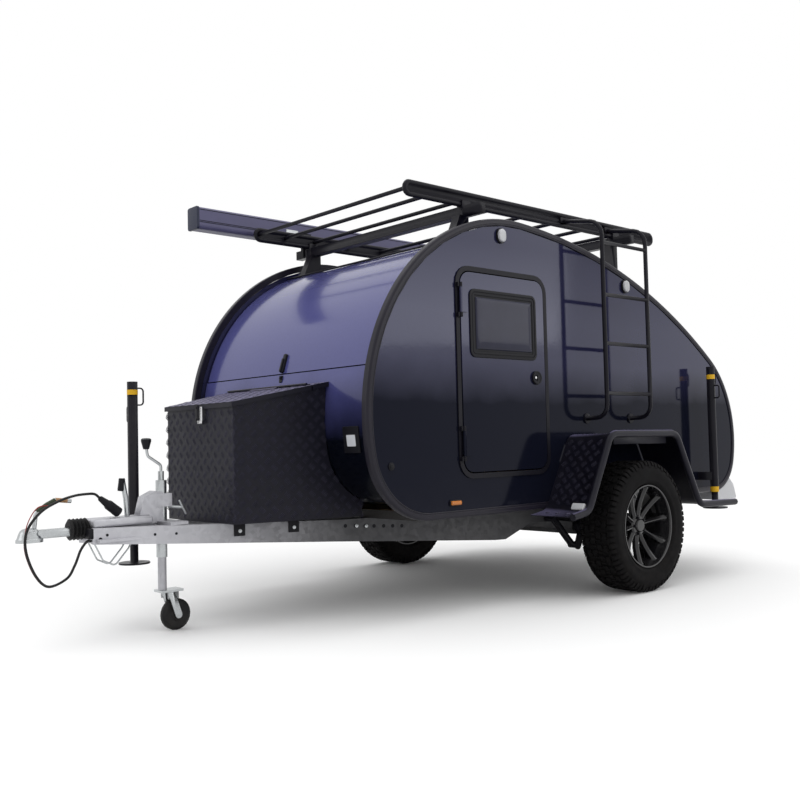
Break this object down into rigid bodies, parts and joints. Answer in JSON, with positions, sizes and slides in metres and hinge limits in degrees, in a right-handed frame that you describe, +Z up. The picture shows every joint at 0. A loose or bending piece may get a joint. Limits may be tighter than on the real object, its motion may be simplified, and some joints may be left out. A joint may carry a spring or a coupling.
{
  "type": "teardrop trailer",
  "caption": "Off-road teardrop trailer with roof rack, side awning case, ladder, drawbar toolbox, fenders, steady legs and lowered jockey wheel.",
  "frame": {"origin": "on the floor under the middle of the trailer's length and width", "axes": "+X forward to the coupling, +Y to the trailer's left, +Z up"},
  "size_m": [4.306, 2.082, 2.142],
  "materials": {
    "wall_paint": "gloss",
    "edge_trim": "satin",
    "skin_paint": "gloss",
    "black_coat": "satin",
    "diamond_plate": "satin",
    "galvanised": "satin",
    "rubber": "matt",
    "tyre": "matt",
    "rim_black": "gloss",
    "glass": "gloss",
    "plywood": "matt",
    "lamp_clear": "gloss",
    "cable_black": "matt",
    "cable_red": "matt"
  },
  "bodies": {
    "trailer": {"side_wall_left": "wall_paint", "side_wall_right": "wall_paint", "edge_trim_left": "edge_trim", "edge_trim_right": "edge_trim", "nose_panel": "skin_paint", "roof_skin": "skin_paint", "tail_panel": "skin_paint", "cabin_floor": "plywood", "bulkhead": "plywood", "door_frame_left": "black_coat", "door_frame_right": "black_coat", "chassis_frame": "galvanised", "axle_beam": "galvanised", "swing_arm_left": "black_coat", "swing_arm_right": "black_coat", "shock_left": "black_coat", "shock_right": "black_coat", "coupling_head": "galvanised", "coupling_bellows": "rubber", "drawbar_cover": "galvanised", "handbrake_lever": "galvanised", "jockey_tube": "galvanised", "jockey_clamp": "galvanised", "toolbox_body": "diamond_plate", "toolbox_strip": "diamond_plate", "fender_left": "diamond_plate", "fender_right": "diamond_plate", "roof_rack": "black_coat", "awning_case": "black_coat", "ladder": "black_coat", "leg_tube_front": "black_coat", "leg_tube_rear_left": "black_coat", "leg_tube_rear_right": "black_coat", "tail_lamp_left": "lamp_clear", "tail_lamp_right": "lamp_clear", "lead_cable": "cable_black", "lead_plug": "black_coat", "breakaway_cable": "cable_red"},
    "wheel_left": {"tyre_left": "tyre", "rim_left": "rim_black"},
    "wheel_right": {"tyre_right": "tyre", "rim_right": "rim_black"},
    "door_left": {"door_left": "wall_paint", "door_window_left": "glass"},
    "door_right": {"door_right": "wall_paint", "door_window_right": "glass"},
    "front_hatch": {"front_hatch": "skin_paint"},
    "rear_hatch": {"rear_hatch": "skin_paint"},
    "toolbox_lid": {"toolbox_lid": "diamond_plate"},
    "jockey_stem": {"jockey_inner_tube": "galvanised"},
    "jockey_fork": {"jockey_fork": "galvanised"},
    "jockey_wheel": {"jockey_wheel": "rubber"},
    "leg_front": {"leg_inner_front": "black_coat"},
    "leg_rear_left": {"leg_inner_rear_left": "black_coat"},
    "leg_rear_right": {"leg_inner_rear_right": "black_coat"}
  },
  "joints": [
    {"name": "wheel_left_spin", "type": "hinge", "parent": "trailer", "child": "wheel_left", "pos_m": [-0.742, 0.93, 0.343], "axis": [0, 1, 0], "continuous": true},
    {"name": "wheel_right_spin", "type": "hinge", "parent": "trailer", "child": "wheel_right", "pos_m": [-0.742, -0.93, 0.343], "axis": [0, 1, 0], "continuous": true},
    {"name": "door_left_hinge", "type": "hinge", "parent": "trailer", "child": "door_left", "pos_m": [0.357, 0.771, 1.14], "axis": [0, 0, -1], "range_deg": [0, 100]},
    {"name": "door_right_hinge", "type": "hinge", "parent": "trailer", "child": "door_right", "pos_m": [0.357, -0.771, 1.14], "axis": [0, 0, 1], "range_deg": [0, 100]},
    {"name": "front_hatch_hinge", "type": "hinge", "parent": "trailer", "child": "front_hatch", "pos_m": [0.30584, 0, 1.78974], "axis": [0, -1, 0], "range_deg": [0, 60]},
    {"name": "rear_hatch_hinge", "type": "hinge", "parent": "trailer", "child": "rear_hatch", "pos_m": [-1.51314, 0, 1.45562], "axis": [0, 1, 0], "range_deg": [0, 75]},
    {"name": "toolbox_lid_hinge", "type": "hinge", "parent": "trailer", "child": "toolbox_lid", "pos_m": [0.94937, 0, 1.09316], "axis": [0, -1, 0], "range_deg": [0, 65]},
    {"name": "jockey_slide", "type": "slide", "parent": "trailer", "child": "jockey_stem", "axis": [0, 0, 1], "range_m": [0, 0.14]},
    {"name": "jockey_swivel", "type": "hinge", "parent": "jockey_stem", "child": "jockey_fork", "pos_m": [1.513, 0, 0.185], "axis": [0, 0, 1], "continuous": true},
    {"name": "jockey_wheel_spin", "type": "hinge", "parent": "jockey_fork", "child": "jockey_wheel", "pos_m": [1.451, 0, 0.07], "axis": [0, 1, 0], "continuous": true},
    {"name": "leg_front_slide", "type": "slide", "parent": "trailer", "child": "leg_front", "axis": [0, 0, -1], "range_m": [0, 0.27]},
    {"name": "leg_rear_left_slide", "type": "slide", "parent": "trailer", "child": "leg_rear_left", "axis": [0, 0, -1], "range_m": [0, 0.36]},
    {"name": "leg_rear_right_slide", "type": "slide", "parent": "trailer", "child": "leg_rear_right", "axis": [0, 0, -1], "range_m": [0, 0.36]}
  ]
}
